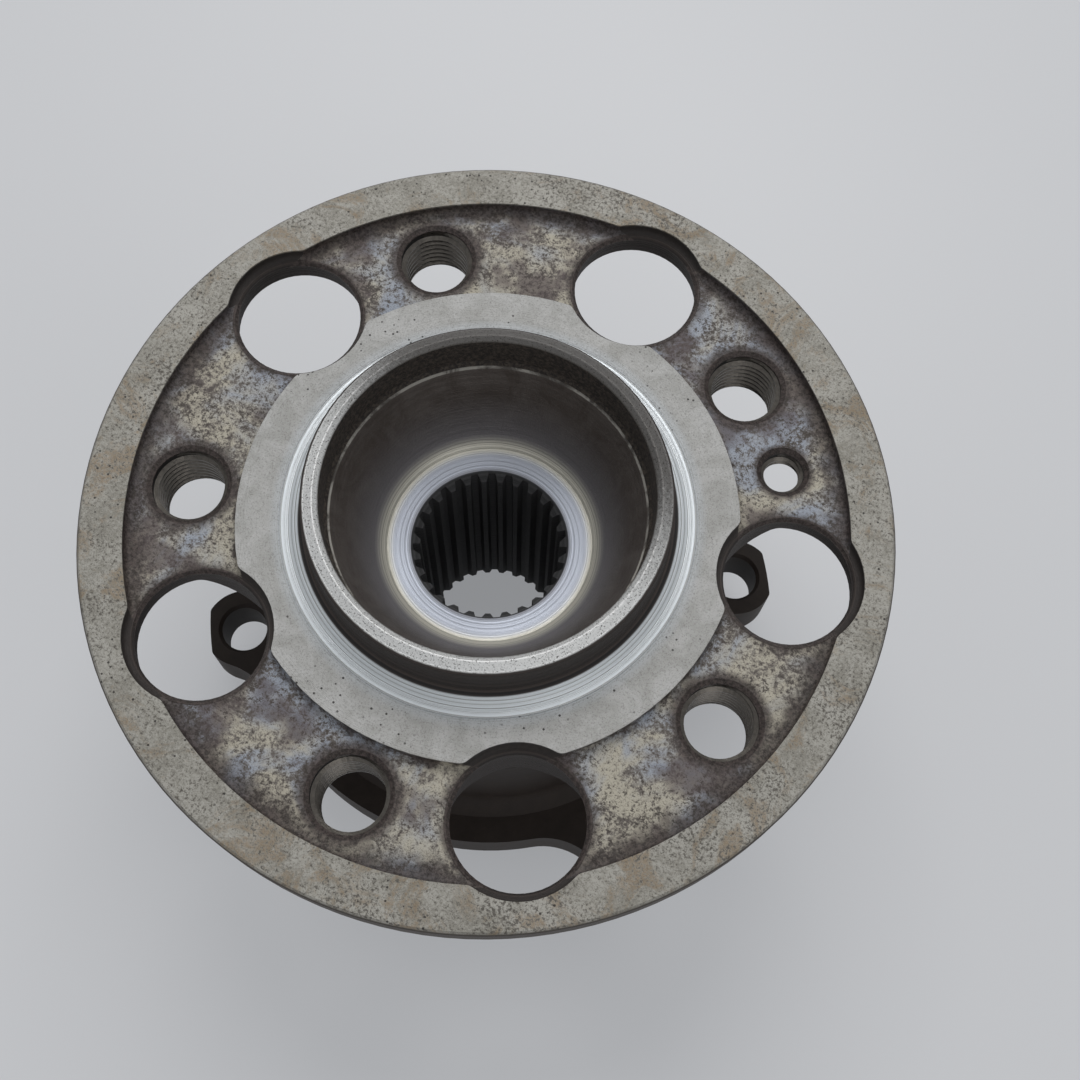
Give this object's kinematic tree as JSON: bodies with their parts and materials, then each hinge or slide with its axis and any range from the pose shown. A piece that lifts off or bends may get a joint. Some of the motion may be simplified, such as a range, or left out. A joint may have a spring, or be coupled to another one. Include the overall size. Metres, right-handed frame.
{
  "type": "wheel hub bearing",
  "caption": "Flanged car wheel hub on a sealed double-row angular-contact ball bearing, with a splined bore, threaded wheel-bolt bosses, access holes and a bolt-on knuckle flange.",
  "frame": {"origin": "centre of the inboard end face, on the spin axis, at the floor it stands on", "axes": "+Z along the spin axis towards the wheel; X and Y along the two sides of the knuckle flange's bolt rectangle, X the longer"},
  "size_m": [0.1494, 0.1494, 0.0849],
  "materials": {
    "forged_hub": "turned and lightly rusted",
    "forged_ring": "forged, dark and rusted",
    "ground_steel": "ground",
    "ball_steel": "polished",
    "cage_plastic": "moulded",
    "pressed_steel": "pressed sheet",
    "seal_rubber": "moulded",
    "encoder_rubber": "smooth"
  },
  "bodies": {
    "housing": {"outer_ring": "forged_ring", "seal_outboard_case": "pressed_steel", "seal_outboard_lips": "seal_rubber", "seal_inboard_case": "pressed_steel", "seal_inboard_lips": "seal_rubber"},
    "rotor": {"hub": "forged_hub", "inner_ring": "ground_steel", "slinger": "pressed_steel", "encoder_ring": "encoder_rubber"},
    "cage_row_outboard": {"cage_outboard": "cage_plastic"},
    "cage_row_inboard": {"cage_inboard": "cage_plastic"},
    "rolling_ball_outboard_01": {"ball_outboard_01": "ball_steel"},
    "rolling_ball_outboard_02": {"ball_outboard_02": "ball_steel"},
    "rolling_ball_outboard_03": {"ball_outboard_03": "ball_steel"},
    "rolling_ball_outboard_04": {"ball_outboard_04": "ball_steel"},
    "rolling_ball_outboard_05": {"ball_outboard_05": "ball_steel"},
    "rolling_ball_outboard_06": {"ball_outboard_06": "ball_steel"},
    "rolling_ball_outboard_07": {"ball_outboard_07": "ball_steel"},
    "rolling_ball_outboard_08": {"ball_outboard_08": "ball_steel"},
    "rolling_ball_outboard_09": {"ball_outboard_09": "ball_steel"},
    "rolling_ball_outboard_10": {"ball_outboard_10": "ball_steel"},
    "rolling_ball_outboard_11": {"ball_outboard_11": "ball_steel"},
    "rolling_ball_outboard_12": {"ball_outboard_12": "ball_steel"},
    "rolling_ball_outboard_13": {"ball_outboard_13": "ball_steel"},
    "rolling_ball_outboard_14": {"ball_outboard_14": "ball_steel"},
    "rolling_ball_outboard_15": {"ball_outboard_15": "ball_steel"},
    "rolling_ball_inboard_01": {"ball_inboard_01": "ball_steel"},
    "rolling_ball_inboard_02": {"ball_inboard_02": "ball_steel"},
    "rolling_ball_inboard_03": {"ball_inboard_03": "ball_steel"},
    "rolling_ball_inboard_04": {"ball_inboard_04": "ball_steel"},
    "rolling_ball_inboard_05": {"ball_inboard_05": "ball_steel"},
    "rolling_ball_inboard_06": {"ball_inboard_06": "ball_steel"},
    "rolling_ball_inboard_07": {"ball_inboard_07": "ball_steel"},
    "rolling_ball_inboard_08": {"ball_inboard_08": "ball_steel"},
    "rolling_ball_inboard_09": {"ball_inboard_09": "ball_steel"},
    "rolling_ball_inboard_10": {"ball_inboard_10": "ball_steel"},
    "rolling_ball_inboard_11": {"ball_inboard_11": "ball_steel"},
    "rolling_ball_inboard_12": {"ball_inboard_12": "ball_steel"},
    "rolling_ball_inboard_13": {"ball_inboard_13": "ball_steel"},
    "rolling_ball_inboard_14": {"ball_inboard_14": "ball_steel"},
    "rolling_ball_inboard_15": {"ball_inboard_15": "ball_steel"}
  },
  "joints": [
    {"name": "hub_spin", "type": "hinge", "parent": "housing", "child": "rotor", "pos_m": [0, 0, 0.0405], "axis": [0, 0, 1], "continuous": true},
    {"name": "cage_outboard_orbit", "type": "hinge", "parent": "housing", "child": "cage_row_outboard", "pos_m": [0, 0, 0.0405], "axis": [0, 0, 1], "continuous": true},
    {"name": "ball_outboard_01_spin", "type": "hinge", "parent": "cage_row_outboard", "child": "rolling_ball_outboard_01", "pos_m": [0.0315, 0, 0.0405], "axis": [0.5736, 0, 0.8192], "continuous": true},
    {"name": "ball_outboard_02_spin", "type": "hinge", "parent": "cage_row_outboard", "child": "rolling_ball_outboard_02", "pos_m": [0.02878, 0.01281, 0.0405], "axis": [0.524, 0.2333, 0.8192], "continuous": true},
    {"name": "ball_outboard_03_spin", "type": "hinge", "parent": "cage_row_outboard", "child": "rolling_ball_outboard_03", "pos_m": [0.02108, 0.02341, 0.0405], "axis": [0.3838, 0.4263, 0.8192], "continuous": true},
    {"name": "ball_outboard_04_spin", "type": "hinge", "parent": "cage_row_outboard", "child": "rolling_ball_outboard_04", "pos_m": [0.00973, 0.02996, 0.0405], "axis": [0.1772, 0.5455, 0.8192], "continuous": true},
    {"name": "ball_outboard_05_spin", "type": "hinge", "parent": "cage_row_outboard", "child": "rolling_ball_outboard_05", "pos_m": [-0.00329, 0.03133, 0.0405], "axis": [-0.06, 0.5704, 0.8192], "continuous": true},
    {"name": "ball_outboard_06_spin", "type": "hinge", "parent": "cage_row_outboard", "child": "rolling_ball_outboard_06", "pos_m": [-0.01575, 0.02728, 0.0405], "axis": [-0.2868, 0.4967, 0.8192], "continuous": true},
    {"name": "ball_outboard_07_spin", "type": "hinge", "parent": "cage_row_outboard", "child": "rolling_ball_outboard_07", "pos_m": [-0.02548, 0.01852, 0.0405], "axis": [-0.464, 0.3371, 0.8192], "continuous": true},
    {"name": "ball_outboard_08_spin", "type": "hinge", "parent": "cage_row_outboard", "child": "rolling_ball_outboard_08", "pos_m": [-0.03081, 0.00655, 0.0405], "axis": [-0.561, 0.1193, 0.8192], "continuous": true},
    {"name": "ball_outboard_09_spin", "type": "hinge", "parent": "cage_row_outboard", "child": "rolling_ball_outboard_09", "pos_m": [-0.03081, -0.00655, 0.0405], "axis": [-0.561, -0.1193, 0.8192], "continuous": true},
    {"name": "ball_outboard_10_spin", "type": "hinge", "parent": "cage_row_outboard", "child": "rolling_ball_outboard_10", "pos_m": [-0.02548, -0.01852, 0.0405], "axis": [-0.464, -0.3371, 0.8192], "continuous": true},
    {"name": "ball_outboard_11_spin", "type": "hinge", "parent": "cage_row_outboard", "child": "rolling_ball_outboard_11", "pos_m": [-0.01575, -0.02728, 0.0405], "axis": [-0.2868, -0.4967, 0.8192], "continuous": true},
    {"name": "ball_outboard_12_spin", "type": "hinge", "parent": "cage_row_outboard", "child": "rolling_ball_outboard_12", "pos_m": [-0.00329, -0.03133, 0.0405], "axis": [-0.06, -0.5704, 0.8192], "continuous": true},
    {"name": "ball_outboard_13_spin", "type": "hinge", "parent": "cage_row_outboard", "child": "rolling_ball_outboard_13", "pos_m": [0.00973, -0.02996, 0.0405], "axis": [0.1772, -0.5455, 0.8192], "continuous": true},
    {"name": "ball_outboard_14_spin", "type": "hinge", "parent": "cage_row_outboard", "child": "rolling_ball_outboard_14", "pos_m": [0.02108, -0.02341, 0.0405], "axis": [0.3838, -0.4263, 0.8192], "continuous": true},
    {"name": "ball_outboard_15_spin", "type": "hinge", "parent": "cage_row_outboard", "child": "rolling_ball_outboard_15", "pos_m": [0.02878, -0.01281, 0.0405], "axis": [0.524, -0.2333, 0.8192], "continuous": true},
    {"name": "cage_inboard_orbit", "type": "hinge", "parent": "housing", "child": "cage_row_inboard", "pos_m": [0, 0, 0.019], "axis": [0, 0, 1], "continuous": true},
    {"name": "ball_inboard_01_spin", "type": "hinge", "parent": "cage_row_inboard", "child": "rolling_ball_inboard_01", "pos_m": [0.0315, 0, 0.019], "axis": [-0.5736, 0, 0.8192], "continuous": true},
    {"name": "ball_inboard_02_spin", "type": "hinge", "parent": "cage_row_inboard", "child": "rolling_ball_inboard_02", "pos_m": [0.02878, 0.01281, 0.019], "axis": [-0.524, -0.2333, 0.8192], "continuous": true},
    {"name": "ball_inboard_03_spin", "type": "hinge", "parent": "cage_row_inboard", "child": "rolling_ball_inboard_03", "pos_m": [0.02108, 0.02341, 0.019], "axis": [-0.3838, -0.4263, 0.8192], "continuous": true},
    {"name": "ball_inboard_04_spin", "type": "hinge", "parent": "cage_row_inboard", "child": "rolling_ball_inboard_04", "pos_m": [0.00973, 0.02996, 0.019], "axis": [-0.1772, -0.5455, 0.8192], "continuous": true},
    {"name": "ball_inboard_05_spin", "type": "hinge", "parent": "cage_row_inboard", "child": "rolling_ball_inboard_05", "pos_m": [-0.00329, 0.03133, 0.019], "axis": [0.06, -0.5704, 0.8192], "continuous": true},
    {"name": "ball_inboard_06_spin", "type": "hinge", "parent": "cage_row_inboard", "child": "rolling_ball_inboard_06", "pos_m": [-0.01575, 0.02728, 0.019], "axis": [0.2868, -0.4967, 0.8192], "continuous": true},
    {"name": "ball_inboard_07_spin", "type": "hinge", "parent": "cage_row_inboard", "child": "rolling_ball_inboard_07", "pos_m": [-0.02548, 0.01852, 0.019], "axis": [0.464, -0.3371, 0.8192], "continuous": true},
    {"name": "ball_inboard_08_spin", "type": "hinge", "parent": "cage_row_inboard", "child": "rolling_ball_inboard_08", "pos_m": [-0.03081, 0.00655, 0.019], "axis": [0.561, -0.1193, 0.8192], "continuous": true},
    {"name": "ball_inboard_09_spin", "type": "hinge", "parent": "cage_row_inboard", "child": "rolling_ball_inboard_09", "pos_m": [-0.03081, -0.00655, 0.019], "axis": [0.561, 0.1193, 0.8192], "continuous": true},
    {"name": "ball_inboard_10_spin", "type": "hinge", "parent": "cage_row_inboard", "child": "rolling_ball_inboard_10", "pos_m": [-0.02548, -0.01852, 0.019], "axis": [0.464, 0.3371, 0.8192], "continuous": true},
    {"name": "ball_inboard_11_spin", "type": "hinge", "parent": "cage_row_inboard", "child": "rolling_ball_inboard_11", "pos_m": [-0.01575, -0.02728, 0.019], "axis": [0.2868, 0.4967, 0.8192], "continuous": true},
    {"name": "ball_inboard_12_spin", "type": "hinge", "parent": "cage_row_inboard", "child": "rolling_ball_inboard_12", "pos_m": [-0.00329, -0.03133, 0.019], "axis": [0.06, 0.5704, 0.8192], "continuous": true},
    {"name": "ball_inboard_13_spin", "type": "hinge", "parent": "cage_row_inboard", "child": "rolling_ball_inboard_13", "pos_m": [0.00973, -0.02996, 0.019], "axis": [-0.1772, 0.5455, 0.8192], "continuous": true},
    {"name": "ball_inboard_14_spin", "type": "hinge", "parent": "cage_row_inboard", "child": "rolling_ball_inboard_14", "pos_m": [0.02108, -0.02341, 0.019], "axis": [-0.3838, 0.4263, 0.8192], "continuous": true},
    {"name": "ball_inboard_15_spin", "type": "hinge", "parent": "cage_row_inboard", "child": "rolling_ball_inboard_15", "pos_m": [0.02878, -0.01281, 0.019], "axis": [-0.524, 0.2333, 0.8192], "continuous": true}
  ],
  "couplings": [
    {"joint": "cage_outboard_orbit", "follows": "hub_spin", "ratio": 0.42776},
    {"joint": "ball_outboard_01_spin", "follows": "hub_spin", "ratio": -2.7755},
    {"joint": "ball_outboard_02_spin", "follows": "hub_spin", "ratio": -2.7755},
    {"joint": "ball_outboard_03_spin", "follows": "hub_spin", "ratio": -2.7755},
    {"joint": "ball_outboard_04_spin", "follows": "hub_spin", "ratio": -2.7755},
    {"joint": "ball_outboard_05_spin", "follows": "hub_spin", "ratio": -2.7755},
    {"joint": "ball_outboard_06_spin", "follows": "hub_spin", "ratio": -2.7755},
    {"joint": "ball_outboard_07_spin", "follows": "hub_spin", "ratio": -2.7755},
    {"joint": "ball_outboard_08_spin", "follows": "hub_spin", "ratio": -2.7755},
    {"joint": "ball_outboard_09_spin", "follows": "hub_spin", "ratio": -2.7755},
    {"joint": "ball_outboard_10_spin", "follows": "hub_spin", "ratio": -2.7755},
    {"joint": "ball_outboard_11_spin", "follows": "hub_spin", "ratio": -2.7755},
    {"joint": "ball_outboard_12_spin", "follows": "hub_spin", "ratio": -2.7755},
    {"joint": "ball_outboard_13_spin", "follows": "hub_spin", "ratio": -2.7755},
    {"joint": "ball_outboard_14_spin", "follows": "hub_spin", "ratio": -2.7755},
    {"joint": "ball_outboard_15_spin", "follows": "hub_spin", "ratio": -2.7755},
    {"joint": "cage_inboard_orbit", "follows": "hub_spin", "ratio": 0.42776},
    {"joint": "ball_inboard_01_spin", "follows": "hub_spin", "ratio": -2.7755},
    {"joint": "ball_inboard_02_spin", "follows": "hub_spin", "ratio": -2.7755},
    {"joint": "ball_inboard_03_spin", "follows": "hub_spin", "ratio": -2.7755},
    {"joint": "ball_inboard_04_spin", "follows": "hub_spin", "ratio": -2.7755},
    {"joint": "ball_inboard_05_spin", "follows": "hub_spin", "ratio": -2.7755},
    {"joint": "ball_inboard_06_spin", "follows": "hub_spin", "ratio": -2.7755},
    {"joint": "ball_inboard_07_spin", "follows": "hub_spin", "ratio": -2.7755},
    {"joint": "ball_inboard_08_spin", "follows": "hub_spin", "ratio": -2.7755},
    {"joint": "ball_inboard_09_spin", "follows": "hub_spin", "ratio": -2.7755},
    {"joint": "ball_inboard_10_spin", "follows": "hub_spin", "ratio": -2.7755},
    {"joint": "ball_inboard_11_spin", "follows": "hub_spin", "ratio": -2.7755},
    {"joint": "ball_inboard_12_spin", "follows": "hub_spin", "ratio": -2.7755},
    {"joint": "ball_inboard_13_spin", "follows": "hub_spin", "ratio": -2.7755},
    {"joint": "ball_inboard_14_spin", "follows": "hub_spin", "ratio": -2.7755},
    {"joint": "ball_inboard_15_spin", "follows": "hub_spin", "ratio": -2.7755}
  ]
}
